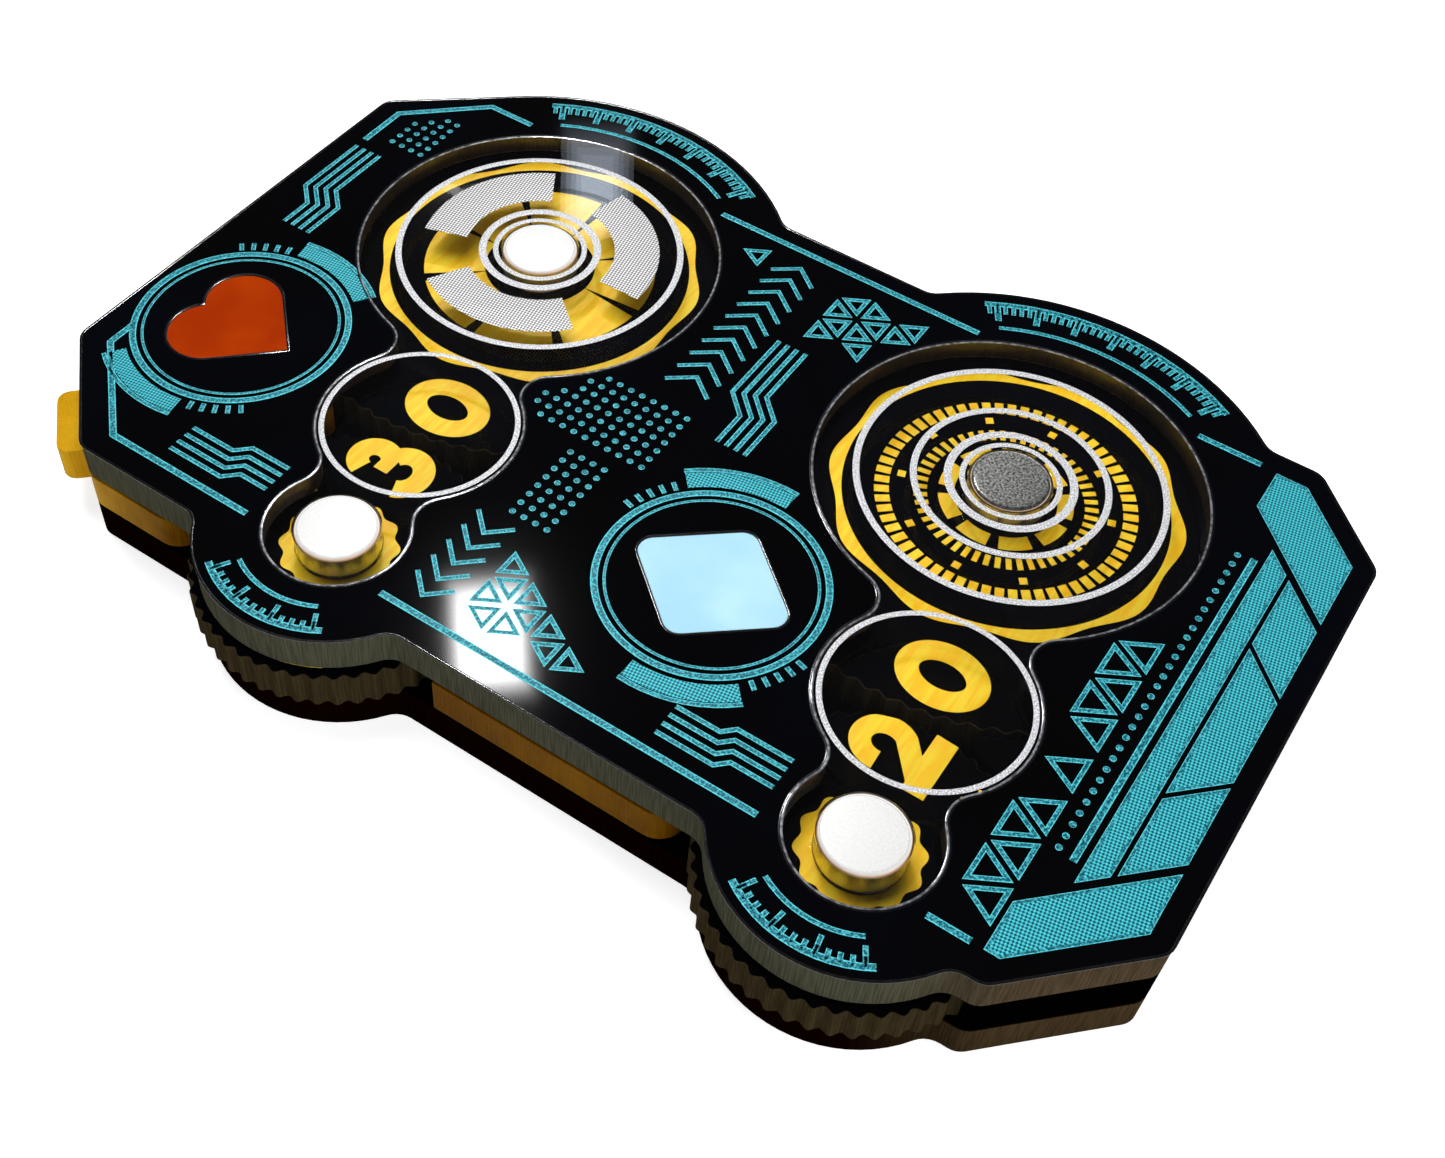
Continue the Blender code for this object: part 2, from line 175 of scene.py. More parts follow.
def table_finish():
    """Matt white, and for the rays that show a backdrop it also gives off its own white."""
    stuff = bpy.data.materials.new("white_table")
    stuff.use_nodes = True
    tree = stuff.node_tree
    shader = tree.nodes["Principled BSDF"]
    shader.inputs["Base Color"].default_value = TABLE_WHITE
    shader.inputs["Roughness"].default_value = 0.9
    rays = tree.nodes.new("ShaderNodeLightPath")
    seen = Signal(rays.outputs["Is Camera Ray"]) + Signal(rays.outputs["Is Glossy Ray"])
    seen = seen + Signal(rays.outputs["Is Transmission Ray"])
    strength = seen.ramp(0.0, 1.0) * TABLE_GLOW
    glow = seen.node("Emission", {"Color": (1.0, 1.0, 1.0, 1.0), "Strength": strength})
    both = seen.node("AddShader", {0: Signal(shader.outputs[0]), 1: glow})
    tree.links.new(both.socket, tree.nodes["Material Output"].inputs["Surface"])
    return stuff


table_corners = np.array([[-1, -1], [1, -1], [1, 1], [-1, 1]]) * TABLE_HALF
table_grid = np.zeros((4, 2, 3))
table_grid[:, :, :2] = table_corners[:, None]
table_grid[:, :, 2] = [TABLE_TOP - TABLE_THICK, TABLE_TOP]
add_piece("table", [skin(table_grid, True, False)], table_finish())

WALL_WHITE = (1.0, 1.0, 1.0, 1.0)
CEILING_DARK = (0.03, 0.031, 0.035, 1.0)
CEILING_CLIMB = (0.16, 0.42)
studio = bpy.data.worlds.new("studio")
studio.use_nodes = True
bpy.context.scene.world = studio
backdrop = studio.node_tree.nodes["Background"]
upward = Signal(studio.node_tree.nodes.new("ShaderNodeTexCoord").outputs["Generated"]).coordinate(2)
studio_light = upward.ramp(*CEILING_CLIMB).tint(WALL_WHITE, CEILING_DARK)
studio.node_tree.links.new(studio_light.socket, backdrop.inputs["Color"])


def add_lamp(name, place, size, power, aim=(0.0, 0.0, 0.0), colour=(1.0, 1.0, 1.0), in_gloss=True):
    """A soft rectangular lamp. Its -Z side faces the aim point."""
    lamp = bpy.data.lights.new(name, "AREA")
    lamp.shape = "RECTANGLE"
    lamp.size, lamp.size_y = size
    lamp.energy = power
    lamp.color = colour
    holder = bpy.data.objects.new(name, lamp)
    holder.location = place
    facing = np.array(aim) - np.array(place)
    holder.rotation_euler = Vector(facing).to_track_quat("-Z", "Y").to_euler()
    holder.visible_glossy = in_gloss
    holder.visible_transmission = in_gloss
    bpy.context.scene.collection.objects.link(holder)


add_lamp("overhead_lamp", place=(0.16, 0.20, 0.60), size=(0.40, 0.40), power=4.3, in_gloss=False)
add_lamp("end_side_lamp", place=(-0.06, -0.58, 0.26), size=(0.40, 0.25), power=2.2, in_gloss=False)
add_lamp("near_side_lamp", place=(-0.45, -0.15, 0.35), size=(0.40, 0.30), power=0.8, in_gloss=False)

# Two small windows, whose glints lie on the face and on the upper dial. Each is a stack of ever smaller
# panes, so that it fades towards its edges.
PANE_SHARES = (1.0, 0.86, 0.72, 0.58, 0.44)
PANE_GAP_SHARE = 0.002
NEAR_WINDOW = np.array([0.2106, 0.1935, 0.4085])
NEAR_SIZE = np.array([0.032, 0.046])
NEAR_GLINT = (-0.0224, 0.0024, 0.0095)
NEAR_POWER = 0.07
NEAR_FIRST_PANE = 0.2
FAR_WINDOW = np.array([0.3438, 0.2439, 0.3210])
FAR_SIZE = np.array([0.026, 0.040])
FAR_GLINT = (0.0206, 0.0239, 0.0095)
FAR_POWER = 0.0028
FAR_SKY = (0.75, 0.85, 1.0)
for pane, share in enumerate(PANE_SHARES):
    back = 1 + PANE_GAP_SHARE * pane
    near_power = NEAR_POWER * share ** 2 * (NEAR_FIRST_PANE + pane)
    far_power = FAR_POWER * share ** 2
    add_lamp(f"near_window_{pane}", NEAR_WINDOW * back, NEAR_SIZE * share, near_power, NEAR_GLINT)
    add_lamp(f"far_window_{pane}", FAR_WINDOW * back, FAR_SIZE * share, far_power, FAR_GLINT, FAR_SKY)

# Sheet parts
# Each is laser-cut from 3 mm cast acrylic and bonded to its neighbours. The faces keep the sheet's factory
# polish, and the cut walls are satin with fine upright streaks from the beam. The corners are broken lightly.
SHEET_BREAK = 0.00009
MERGE_REACH = 1e-6
FLAT_TURN = math.radians(1)
CORNER_TURN = math.radians(40)
WALL_TURN = math.radians(16)
RIM_TURN = 0.7


def merged_shape(node):
    """A CAD node's loose triangles with their shared points merged."""
    shape = bmesh.new()
    shape.from_mesh(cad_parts[node].data)
    bmesh.ops.remove_doubles(shape, verts=shape.verts, dist=MERGE_REACH)
    return shape


def broken_sheet(node, name):
    """A CAD sheet's shape as one joined-up mesh with its flat faces whole, and a small round on each edge where
    two faces meet at more than 40 degrees. Only the cut walls' own curves are shaded smooth."""
    shape = merged_shape(node)
    bmesh.ops.dissolve_limit(shape, angle_limit=FLAT_TURN, verts=shape.verts, edges=shape.edges)
    sharp = [edge for edge in shape.edges if edge.calc_face_angle(0.0) > CORNER_TURN]
    bmesh.ops.bevel(shape, geom=sharp, affect="EDGES", offset=SHEET_BREAK, segments=2, profile=0.5)
    mesh = bpy.data.meshes.new(name)
    shape.to_mesh(mesh)
    shape.free()
    mesh.polygons.foreach_set("use_smooth", np.ones(len(mesh.polygons), bool))
    mesh.set_sharp_from_angle(angle=WALL_TURN)
    return mesh


def rim_paths(node):
    """The outlines of a CAD sheet's upper face, longest first, each as its points in order. From any edge where
    that face meets a wall, each next edge is the one that shares its last point."""
    shape = merged_shape(node)
    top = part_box(node)[1].z - MERGE_REACH
    rims = [edge for edge in shape.edges if edge.calc_face_angle(0.0) > RIM_TURN]
    rims = [edge for edge in rims if min(edge.verts[0].co.z, edge.verts[1].co.z) > top]
    paths = []
    while rims:
        start, here = rims.pop().verts
        path = [here.co.xy[:]]
        while here != start:
            edge = next(edge for edge in here.link_edges if edge in rims)
            rims.remove(edge)
            here = edge.other_vert(here)
            path.append(here.co.xy[:])
        paths.append(np.array(path))
    shape.free()
    return sorted(paths, key=lambda path: -np.ptp(path, axis=0).sum())


def add_sheet(node, name, stuff):
    """Stands for a CAD sheet: the same outline and level, with its edges broken."""
    mesh = broken_sheet(node, name)
    mesh.materials.append(stuff)
    piece = bpy.data.objects.new(name, mesh)
    bpy.context.scene.collection.objects.link(piece)
    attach(piece, "plates")
    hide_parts(node)


def finish(name, varying, **fixed):
    """A material. Fixed numbers sit on the shader's own sockets, and varying works out the sockets that change
    over the surface from the object's own coordinates."""
    stuff = bpy.data.materials.new(name)
    stuff.use_nodes = True
    tree = stuff.node_tree
    shader = tree.nodes["Principled BSDF"]
    for socket, value in fixed.items():
        shader.inputs[socket.replace("_", " ")].default_value = value
    place = Signal(tree.nodes.new("ShaderNodeTexCoord").outputs["Object"])
    for socket, signal in varying(place).items():
        tree.links.new(signal.socket, shader.inputs[socket])
    return stuff


def grain(place, scale, stretch=(1.0, 1.0, 1.0), detail=2.0):
    """Cloudy noise from 0 to 1, drawn out along the axes with the smallest stretch."""
    drawn = place.node("Mapping", {"Vector": place, "Scale": stretch})
    return place.node("TexNoise", {"Vector": drawn, "Scale": scale, "Detail": detail})


def bump(place, height, depth):
    """Surface relief of a depth in metres."""
    return place.node("Bump", {"Height": height, "Strength": 1.0, "Distance": depth})


def cut_wall(place, low, high):
    """1 on a sheet's cut wall and 0 on its two polished faces, told apart by level alone."""
    level = place.coordinate(2)
    inset = SHEET_BREAK / 2
    return level.ramp(low, low + inset) * (1.0 - level.ramp(high - inset, high))


STREAK_SCALE = 9000.0
STREAK_DRAWN = (1.0, 1.0, 0.04)
STREAK_DEPTH = 0.00002
STREAK_SHADE = 0.6
SCRATCH_SCALE = 900.0
SCRATCH_ALONG = (1.0, 0.03, 1.0)
SCRATCH_ACROSS = (0.03, 1.0, 1.0)
SHEEN_CLOUD_SCALE = 60.0
POLISHED_BLACK = (0.001, 0.001, 0.0012, 1.0)
NAVY_PAINTED_SHEEN = (0.0012, 0.0014, 0.0026, 1.0)
PAINTED_END_LIGHT_STRETCH = (-0.039, -0.030)


def streaks(place):
    """Upright streaks left by the laser beam, about 0.1 mm apart."""
    return grain(place, STREAK_SCALE, STREAK_DRAWN, detail=1.0)


def streaked(streak, colour):
    """A wall's colour, with a share of its light left in the streaks."""
    shade = [STREAK_SHADE * channel for channel in colour[:3]] + [1.0]
    return streak.ramp(0.3, 0.7).tint(shade, colour)


def black_sheet(name, node, wall_colour, painted_end_light_colour, shine):
    """Piano-black acrylic: a faint painted navy sheen in random clouds and hairline scratches on the faces, and
    streaked walls that take another colour round the bottom end as painted light, lighter on the base and
    browner on the face. The polish is a clear coat, which the cut walls lack."""
    low, high = (corner.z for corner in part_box(node))

    def varying(place):
        wall = cut_wall(place, low, high)
        streak = streaks(place)
        along = grain(place, SCRATCH_SCALE, SCRATCH_ALONG, detail=0.0).ramp(0.66, 0.70)
        across = grain(place, SCRATCH_SCALE, SCRATCH_ACROSS, detail=0.0).ramp(0.68, 0.72)
        # Painted navy sheen, laid over the faces in random clouds.
        face = grain(place, SHEEN_CLOUD_SCALE).ramp(0.35, 0.75).tint(POLISHED_BLACK, NAVY_PAINTED_SHEEN)
        past_painted_end_light = place.coordinate(1).ramp(*PAINTED_END_LIGHT_STRETCH)
        walls = past_painted_end_light.tint(streaked(streak, painted_end_light_colour), streaked(streak, wall_colour))
        return {
            "Base Color": wall.tint(face, walls),
            "Roughness": 0.05 + along * 0.025 + across * 0.02 + wall * (0.28 + streak * 0.2),
            "Coat Weight": (1.0 - wall) * shine,
            "Normal": bump(place, wall * streak, STREAK_DEPTH),
        }

    return finish(name, varying, Specular_IOR_Level=0.0, Coat_Roughness=0.05, Coat_IOR=1.42)


LOW_SHINE = 0.06
# Painted shade: the base's side walls are coloured far darker than the face's. Painted light: its walls round
# the bottom end are coloured lighter.
BASE_WALL_PAINTED_SHADE = screen(0.08, 0.035, 0.015)
BASE_END_PAINTED_LIGHT = screen(0.27, 0.22, 0.155)
black_base = black_sheet("black_base", "base_plate", BASE_WALL_PAINTED_SHADE, BASE_END_PAINTED_LIGHT, LOW_SHINE)
add_sheet("base_plate", "base_sheet", black_base)
# Painted shade: the spacers' walls are coloured near black.
SPACER_WALL_PAINTED_SHADE = screen(0.03, 0.025, 0.025)
for spacer in ("end_spacer", "side_spacer"):
    black = black_sheet("black_" + spacer, spacer, SPACER_WALL_PAINTED_SHADE, SPACER_WALL_PAINTED_SHADE, LOW_SHINE)
    add_sheet(spacer, spacer + "_sheet", black)


# Yellow click plates
# Translucent yellow acrylic in the middle layer. Their hidden spring fingers click in the knurled rims, and
# the upper one has a round-ended tab that stands out of the corner cut.
# Painted shade for the yellow under the face, and painted light for the yellow near the tab.
PAINTED_SHADE_YELLOW = (screen(0.33, 0.21, 0.005), screen(0.43, 0.29, 0.01))
PAINTED_LIGHT_YELLOW = (screen(0.70, 0.50, 0.07), screen(0.82, 0.63, 0.14))
YELLOW_GLEAM = (1.0, 0.7, 0.1, 1.0)
PAINTED_LIGHT_STRETCH = (0.028, 0.042)
CLOUD_SCALE = 250.0


def yellow_acrylic(node):
    """Cloudy yellow with light and shade painted in: a dark painted shade where the sheet lies under the face,
    and painted light near the open tab, which fades along the sheet over a stretch of Y."""
    low, high = (corner.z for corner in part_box(node))

    def varying(place):
        wall = cut_wall(place, low, high)
        streak = streaks(place)
        cloud = (grain(place, CLOUD_SCALE) * 0.6 + streak * 0.4).ramp(0.3, 0.7)
        painted_tab_light = place.coordinate(1).ramp(*PAINTED_LIGHT_STRETCH)
        return {
            "Base Color": painted_tab_light.tint(cloud.tint(*PAINTED_SHADE_YELLOW), cloud.tint(*PAINTED_LIGHT_YELLOW)),
            "Roughness": 0.12 + wall * (0.2 + streak * 0.2),
            "Normal": bump(place, wall * streak, STREAK_DEPTH),
        }

    gleam = {"Specular_IOR_Level": 0.01, "Specular_Tint": YELLOW_GLEAM}
    return finish("yellow_" + node, varying, **gleam, Subsurface_Weight=0.1, Subsurface_Scale=0.001)


for counter in ("upper", "lower"):
    node = counter + "_click_plate"
    add_sheet(node, node + "_sheet", yellow_acrylic(node))


# Magnet axles
# Twelve nickel-plated disc magnets, 6 mm by 3 mm, three to a stack: base, hub and cap. They are sintered,
# ground flat and tumbled, so their edges are round and their faces finely grained.
def upright_axis(node):
    """The middle of a node, seen from above."""
    low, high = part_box(node)
    return np.array([(low.x + high.x) / 2, (low.y + high.y) / 2])


def out_from(axis, place):
    """Distance of the surface from an upright axis."""
    flat = place.node("Mapping", {"Vector": place, "Location": (-axis[0], -axis[1], 0.0)})
    flat = place.node("VectorMath", {0: flat, 1: (1.0, 1.0, 0.0)}, operation="MULTIPLY")
    return place.node("VectorMath", {0: flat}, outlet=1, operation="LENGTH")


def turned(rim, rows, axis):
    """A shape carried round an upright axis. At angle t its radius in row (share, offset, level) is
    share * rim(t) + offset, so a share of 1 follows the rim and a share of 0 is a plain circle."""
    turn = np.linspace(0.0, 2 * math.pi, len(rim), endpoint=False)[:, None]
    share, offset, level = np.array(rows).T
    radius = rim[:, None] * share + offset
    across = axis[0] + radius * np.cos(turn)
    along = axis[1] + radius * np.sin(turn)
    return np.stack([across, along, np.broadcast_to(level, radius.shape)], -1)


MAGNET_EDGE = 0.00028
MAGNET_SIDES = 96
MAGNET_ARC = np.linspace(0.0, math.pi / 2, 5)


def magnet_rows(radius, low, high):
    """Up the side of a disc: a quarter circle off the lower face, then one on to the upper face."""
    round_out = radius - MAGNET_EDGE + MAGNET_EDGE * np.sin(MAGNET_ARC)
    lower = [(0.0, out, low + MAGNET_EDGE * (1 - math.cos(arc))) for out, arc in zip(round_out, MAGNET_ARC)]
    upper = [(0.0, out, low + high - level) for _, out, level in lower[::-1]]
    return lower + upper


# Two copies of the same nickel plating: a near-white one with a painted highlight, and a darker one as painted
# shade for the one stack that looked darker.
BRIGHT_PAINTED_NICKEL = {
    "dark": (0.90, 0.90, 0.88, 1.0), "light": (0.98, 0.98, 0.97, 1.0), "grit": 0.00001, "metallic": 0.4,
}
DARK_PAINTED_NICKEL = {
    "dark": (0.10, 0.10, 0.09, 1.0), "light": (0.98, 0.97, 0.93, 1.0), "grit": 0.00006, "metallic": 0.95,
}
DARK_PAINTED_STACK = "lower_units"
# Painted reflection: the magnets' sides are tinted warm, as if mirroring the yellow paint round them.
SIDE_PAINTED_REFLECTION = (0.98, 0.66, 0.44, 1.0)
SPECK_SCALE = 5600.0
FACE_END = (0.0025, 0.0028)
SIDE_START = (0.00285, 0.00298)


def nickel(name, axis, dark, light, grit, metallic):
    """Plated nickel: fine grit in the face, smoother on the rounded edge, and a painted warm reflection of the
    yellow paint on the side. The bright copy's near-white is a painted highlight, and the dark copy is painted
    shade."""

    def varying(place):
        face = 1.0 - out_from(axis, place).ramp(*FACE_END)
        side = out_from(axis, place).ramp(*SIDE_START)
        speck = grain(place, SPECK_SCALE, detail=3.0)
        return {
            "Base Color": side.tint(speck.ramp(0.3, 0.7).tint(dark, light), SIDE_PAINTED_REFLECTION),
            "Roughness": 0.2 + face * (0.15 + speck * 0.35),
            "Normal": bump(place, face * speck, grit),
        }

    return finish(name, varying, Metallic=metallic)


for counter in ("upper", "lower"):
    for wheel in ("tens", "units"):
        stack = counter + "_" + wheel
        axis = upright_axis(stack + "_wheel")
        plating = nickel(stack + "_nickel", axis, **(DARK_PAINTED_NICKEL if stack == DARK_PAINTED_STACK else BRIGHT_PAINTED_NICKEL))
        for layer in ("base", "hub", "cap"):
            node = stack + "_" + layer + "_magnet"
            low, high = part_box(node)
            rows = magnet_rows((high.x - low.x) / 2, low.z, high.z)
            disc = turned(np.ones(MAGNET_SIDES), rows, axis)
            magnet = add_piece(stack + "_" + layer + "_disc", [skin(disc, True, False)], plating)
            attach(magnet, "plates")
            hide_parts(node)


# Number wheels
# Four wheels cut from 3 mm black acrylic, bored for a hub magnet. Eight scallops to a number give the thumb
# its grip and the spring fingers their clicks. A tens wheel carries 0 to 5 and a units wheel 0 to 9.
KNURL_DEPTH = 0.00035
KNURLS_PER_NUMBER = 8
POINTS_PER_KNURL = 10
WHEEL_BREAK = 0.00008
WHEEL_BORE = 0.00307
NUMBERS_ON = {"tens": 6, "units": 10}
WHEEL_WALL = screen(0.23, 0.20, 0.14)
WHEEL_SHINE = 0.12


def wheel_rows(low, high):
    """Up the scalloped rim, in to the bore and down it, with each corner broken."""
    return [
        (1, -WHEEL_BREAK, low), (1, 0, low + WHEEL_BREAK),
        (1, 0, high - WHEEL_BREAK), (1, -WHEEL_BREAK, high),
        (0, WHEEL_BORE + WHEEL_BREAK, high), (0, WHEEL_BORE, high - WHEEL_BREAK),
        (0, WHEEL_BORE, low + WHEEL_BREAK), (0, WHEEL_BORE + WHEEL_BREAK, low),
    ]


wheel_acrylic = black_sheet("black_wheel", "upper_tens_wheel", WHEEL_WALL, WHEEL_WALL, WHEEL_SHINE)
for counter in ("upper", "lower"):
    for kind, count in NUMBERS_ON.items():
        node = counter + "_" + kind + "_wheel"
        low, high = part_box(node)
        knurls = count * KNURLS_PER_NUMBER
        turn = np.linspace(0.0, 2 * math.pi, knurls * POINTS_PER_KNURL, endpoint=False)
        rim = (high.x - low.x) / 2 - KNURL_DEPTH * (1 - np.cos(knurls * turn)) / 2
        disc = turned(rim, wheel_rows(low.z, high.z), upright_axis(node))
        wheel = add_piece(node + "_disc", [skin(disc, True, True)], wheel_acrylic)
        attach(wheel, counter + "_" + kind)
        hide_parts(node)


# Yellow numbers and rings
# Yellow paint in shallow laser engraving on the wheels' upper faces, seen through the clear inserts. A tens
# wheel has a wavy ring round its axle and its numbers outside. A units wheel has a wavy ring that shows at the
# dial window's edge, a graduated or divided ring inside, and its numbers out near the rim.
PAINT_SINK = 0.00001
PAINT_RISE = 0.00003
PAINT_RELIEF = 0.00001
SHOULDER_SHARE = 0.28
SHOULDER_LIMIT = 0.00012


def sideways(path, joined):
    """A step to the left at each point of a path: the sum of the sideways directions of the two runs that meet
    there, over one plus their dot product, which keeps a line's width through a bend."""
    ahead = np.roll(path, -1, 0) - path
    if not joined:
        ahead[-1] = ahead[-2]
    ahead /= np.linalg.norm(ahead, axis=1, keepdims=True)
    side = np.stack([-ahead[:, 1], ahead[:, 0]], 1)
    before = np.roll(side, 1, 0)
    if not joined:
        before[0] = side[0]
    return (side + before) / (1 + np.sum(side * before, 1, keepdims=True))


def stroke(path, width, level, joined=False):
    """A line of paint: a low, soft-shouldered profile carried along a path."""
    shoulder = min(SHOULDER_SHARE * width, SHOULDER_LIMIT)
    half = width / 2
    out = np.array([-half, -half, shoulder - half, half - shoulder, half, half])
    up = np.array([-PAINT_SINK, PAINT_RISE / 2, PAINT_RISE, PAINT_RISE, PAINT_RISE / 2, -PAINT_SINK]) + level
    points = path[:, None] + sideways(path, joined)[:, None] * out[None, :, None]
    grid = np.concatenate([points, np.broadcast_to(up[None, :, None], points.shape[:2] + (1,))], -1)
    return skin(grid, joined, True)


def bow(centre, across, along, start, stop):
    """Points on part of an ellipse, from one angle to another in degrees, about one to every 6 degrees."""
    angle = np.radians(np.linspace(start, stop, 2 + int(abs(stop - start) / 6)))
    return np.stack([centre[0] + across * np.cos(angle), centre[1] + along * np.sin(angle)], 1)


def turn_about(points, axis, degrees):
    """Points turned round an upright axis."""
    angle = math.radians(degrees)
    spin = np.array([[math.cos(angle), math.sin(angle)], [-math.sin(angle), math.cos(angle)]])
    return (points - axis) @ spin + axis


def figure_strokes():
    """Bold upright figures as pen strokes, in millimetres from the figure's middle. Each stroke is a path,
    whether it is a loop, and the pen's width in metres where it isn't the usual one."""
    loop = bow((0.0, -1.2), 1.75, 1.37, 0, 354)
    hook = bow((0.5, -0.3), 2.25, 2.87, 66, 184)
    swan = bow((-0.12, 0.88), 1.5, 1.7, 186, -42)
    belly = bow((-0.2, -1.05), 1.7, 1.5, 90, -170)
    return {
        0: [(bow((0.0, 0.0), 1.93, 2.58, 0, 354), True)],
        1: [([(-1.35, 1.95), (0.3, 2.62)], False), ([(0.4, 3.42), (0.4, -3.42)], False)],
        2: [(np.vstack([swan, [(-1.45, -2.3)]]), False, 0.0015), ([(-2.6, -2.57), (2.55, -2.57)], False)],
        3: [
            (bow((-0.3, 1.38), 1.25, 1.3, 166, -50), False),
            ([(-0.95, 0.36), (0.9, 0.36)], False, 0.0012),
            (bow((-0.15, -1.15), 1.7, 1.53, 58, -164), False),
        ],
        4: [
            ([(0.85, 3.42), (-1.9, -1.1)], False),
            ([(-2.65, -1.4), (2.65, -1.4)], False),
            ([(1.05, 0.5), (1.05, -3.42)], False),
        ],
        5: [(np.vstack([[(1.95, 2.57), (-1.15, 2.57), (-1.35, 0.45)], belly]), False)],
        6: [(loop, True), (hook, False)],
        7: [([(-2.35, 2.57), (2.45, 2.57)], False), ([(1.7, 2.4), (-0.6, -3.42)], False)],
        8: [(loop, True), (bow((0.0, 1.5), 1.42, 1.07, 0, 354), True)],
        9: [(-loop, True), (-hook, False)],
    }


FIGURES = figure_strokes()
FIGURE_PEN = 0.00166
FIGURE_LAP = 0.000002
NUMBER_PLACE = {"tens": (0.0081, 0.0019), "units": (-0.01695, -0.0038)}
NUMBER_SIZE = {"tens": 0.00098, "units": 0.001}
NUMBER_REACH = {"tens": (0.0097, 0.0106), "units": (0.0202, 0.0204)}
NUMBER_SHOWN = {"upper": {"tens": 3, "units": 0}, "lower": {"tens": 2, "units": 0}}
COUNTS_TOWARDS = {"tens": 1, "units": -1}


def numbers(counter, kind, axis, level):
    """Every number of a wheel, upright at the reading place when the wheel has turned it there. The tens run
    anticlockwise and the units clockwise. A corner past the reach is drawn in to it, and the reach is a little
    shorter for the numbers that start out under the face."""
    skins = []
    shown = NUMBER_SHOWN[counter][kind]
    step = COUNTS_TOWARDS[kind] * 360 / NUMBERS_ON[kind]
    for figure in range(NUMBERS_ON[kind]):
        reach = NUMBER_REACH[kind][figure == shown]
        for lap, (pen_path, joined, *pen) in enumerate(FIGURES[figure]):
            path = np.array(pen_path) * NUMBER_SIZE[kind] + axis + NUMBER_PLACE[kind]
            path = turn_about(path, axis, (figure - shown) * step)
            points, faces = stroke(path, *(pen or [FIGURE_PEN]), level + lap * FIGURE_LAP, joined)
            out = np.linalg.norm(points[:, :2] - axis, axis=1, keepdims=True)
            points[:, :2] = axis + (points[:, :2] - axis) * np.minimum(1.0, reach / out)
            skins.append((points, faces))
    return skins


POINTS_PER_WAVE = 24
WAVY_RINGS = {
    "tens": {"inner": 0.0031, "outer": 0.0043, "swell": 0.0004, "waves": 12},
    "units": {"inner": 0.0121, "outer": 0.0132, "swell": 0.0006, "waves": 10},
}
UPPER_SECTORS = {"radius": 0.0069, "width": 0.0049, "starts": range(2, 360, 45), "turn": 41}
LOWER_TICKS = (
    {"inner": 0.0086, "outer": 0.0097, "width": 0.00066, "angles": np.arange(60) * 6.0},
    {"inner": 0.0058, "outer": 0.0068, "width": 0.00042, "angles": np.arange(50) * 7.2},
    {"inner": 0.0075, "outer": 0.0081, "width": 0.0006, "angles": np.arange(10) * 36.0},
)
LOWER_ARCS = {"radius": 0.0044, "width": 0.0012, "starts": range(0, 360, 40), "turn": 30}
RASTER_SCALE = 2600.0
RASTER_DRAWN = (0.12, 1.0, 1.0)
WARM_YELLOW = (screen(1.0, 0.77, 0.10), screen(1.0, 0.86, 0.21))


def wavy_ring(axis, inner, outer, swell, waves, level):
    """A flat ring whose outer edge swells in and out by a cosine."""
    turn = np.linspace(0.0, 2 * math.pi, waves * POINTS_PER_WAVE, endpoint=False)
    rim = outer - swell * (1 - np.cos(waves * turn)) / 2
    rows = [
        (1, 0, level - PAINT_SINK), (1, 0, level + PAINT_RISE),
        (0, inner, level + PAINT_RISE), (0, inner, level - PAINT_SINK),
    ]
    return skin(turned(rim, rows, axis), True, True)


def spokes(axis, inner, outer, width, angles, level):
    """Short straight lines that point at the axis, one at each angle in degrees."""
    skins = []
    for angle in np.radians(angles):
        away = np.array([math.cos(angle), math.sin(angle)])
        skins.append(stroke(axis + np.outer([inner, outer], away), width, level))
    return skins


def arc_bands(axis, radius, width, starts, turn, level):
    """Wide lines of paint along parts of a circle, each from its start through the same turn, in degrees."""
    return [stroke(bow(axis, radius, radius, start, start + turn), width, level) for start in starts]


def yellow_paint():
    """Opaque warm yellow with the faint raster of the laser that cut its bed."""

    def varying(place):
        raster = grain(place, RASTER_SCALE, RASTER_DRAWN, detail=1.0)
        return {
            "Base Color": raster.ramp(0.3, 0.7).tint(*WARM_YELLOW),
            "Roughness": 0.35 + raster * 0.2,
            "Normal": bump(place, raster, PAINT_RELIEF),
        }

    return finish("yellow_paint", varying)


wheel_yellow = yellow_paint()
for counter in ("upper", "lower"):
    for kind in NUMBERS_ON:
        node = counter + "_" + kind + "_wheel"
        axis = upright_axis(node)
        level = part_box(node)[1].z
        figures = add_piece(node + "_numbers", numbers(counter, kind, axis, level), wheel_yellow)
        skins = [wavy_ring(axis, level=level, **WAVY_RINGS[kind])]
        if kind == "units" and counter == "upper":
            skins += arc_bands(axis, level=level, **UPPER_SECTORS)
        if kind == "units" and counter == "lower":
            for ticks in LOWER_TICKS:
                skins += spokes(axis, level=level, **ticks)
            skins += arc_bands(axis, level=level, **LOWER_ARCS)
        rings = add_piece(node + "_rings", skins, wheel_yellow)
        for painted in (figures, rings):
            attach(painted, counter + "_" + kind)


# Clear window inserts
# One keyhole-shaped piece of clear acrylic fills each window, flush with the face. It holds the two cap
# magnets and shows the wheels below. Its own silver rings are painted on top.
CLEAR_TINT = (0.99, 0.99, 0.985, 1.0)
CLEAR_SHADOW = (0.97, 0.97, 0.97, 1.0)
ACRYLIC_INDEX = 1.49
WALL_PAINTED_REFLECTION = (screen(0.04, 0.03, 0.02), screen(0.16, 0.11, 0.07))
PAINTED_REFLECTION_COVER = 0.85
MAGNET_HOLE = (0.0033, 0.0036)
CLEAR_SCRATCH_SCALE = 700.0


